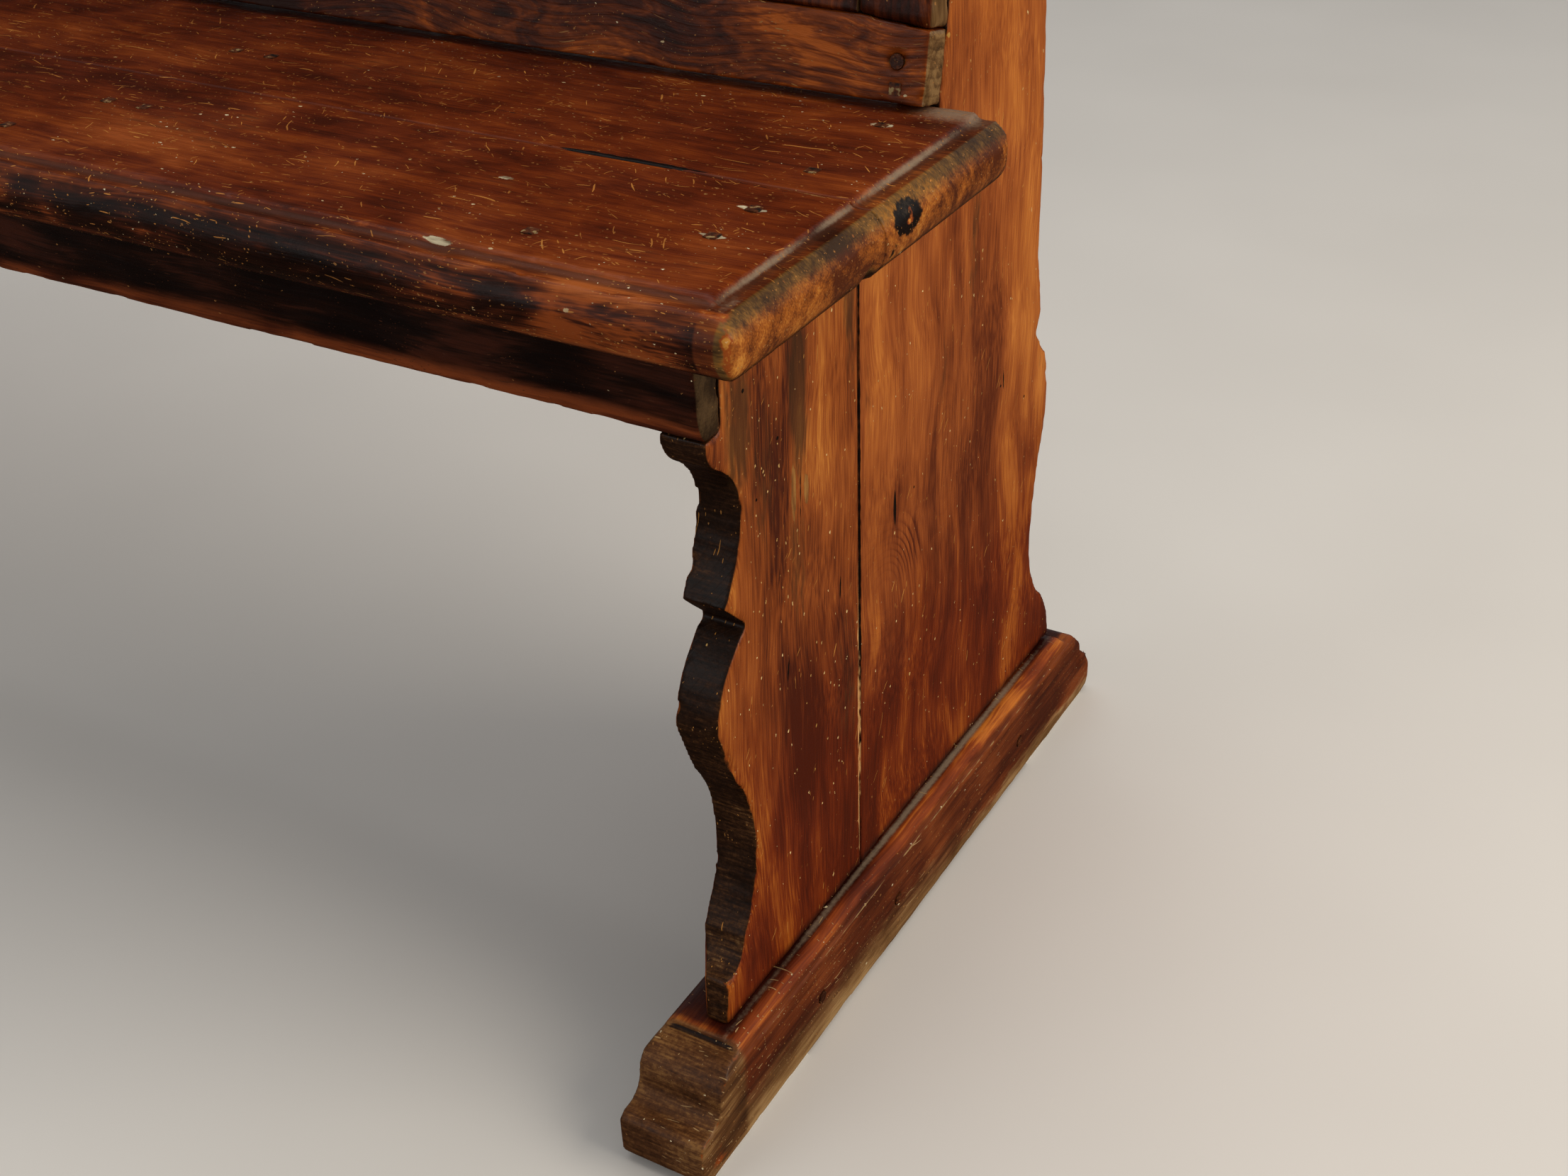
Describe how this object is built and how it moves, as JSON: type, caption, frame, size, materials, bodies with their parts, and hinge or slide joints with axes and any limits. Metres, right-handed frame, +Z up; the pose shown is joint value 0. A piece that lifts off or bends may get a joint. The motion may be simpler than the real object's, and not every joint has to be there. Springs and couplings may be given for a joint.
{
  "type": "plank-ended monks bench",
  "caption": "Plank-ended bench with scalloped board ends on sledge feet, a moulded board seat and a raked back of framed, fielded panels under a cap.",
  "frame": {"origin": "on the floor under the middle of the bench", "axes": "+X towards the bench's right end as seen from in front of it, +Y from its front to its back, +Z up"},
  "size_m": [1.5052, 0.508, 1.0064],
  "materials": {
    "seat_pine": "dark red-brown varnish, worn satin",
    "end_pine": "warm orange-brown varnish, stained and worn",
    "foot_pine": "dark varnish, dusty and scuffed low down",
    "apron_pine": "near-black red varnish",
    "frame_pine": "dark brown varnish with a swirled figure",
    "panel_pine": "dark brown varnish",
    "under_pine": "bare, sawn and darkened with age",
    "peg_pine": "varnished end grain",
    "nail_iron": "rusted black",
    "felt_pad": "pale pressed felt"
  },
  "bodies": {
    "root": {"back_bottom_rail": "frame_pine", "back_cap": "seat_pine", "back_cap_nails": "nail_iron", "back_frame_nails": "nail_iron", "back_frame_pegs": "peg_pine", "back_muntin_1": "frame_pine", "back_muntin_2": "frame_pine", "back_muntin_3": "frame_pine", "back_panel_1": "panel_pine", "back_panel_2": "panel_pine", "back_panel_3": "panel_pine", "back_panel_4": "panel_pine", "back_panel_beads_1": "panel_pine", "back_panel_beads_2": "panel_pine", "back_panel_beads_3": "panel_pine", "back_panel_beads_4": "panel_pine", "back_stile_left": "frame_pine", "back_stile_right": "frame_pine", "back_top_rail": "frame_pine", "end_front_plank_left": "end_pine", "end_front_plank_right": "end_pine", "end_standard_left": "end_pine", "end_standard_right": "end_pine", "felt_front_left": "felt_pad", "felt_front_right": "felt_pad", "felt_rear_left": "felt_pad", "felt_rear_right": "felt_pad", "foot_left": "foot_pine", "foot_pegs_left": "peg_pine", "foot_pegs_right": "peg_pine", "foot_right": "foot_pine", "front_apron": "apron_pine", "plank_dowels_left": "peg_pine", "plank_dowels_right": "peg_pine", "seat_batten_1": "under_pine", "seat_batten_2": "under_pine", "seat_batten_3": "under_pine", "seat_front_board": "seat_pine", "seat_nails": "nail_iron", "seat_rear_board": "seat_pine", "seat_rear_rail": "under_pine"}
  },
  "joints": []
}
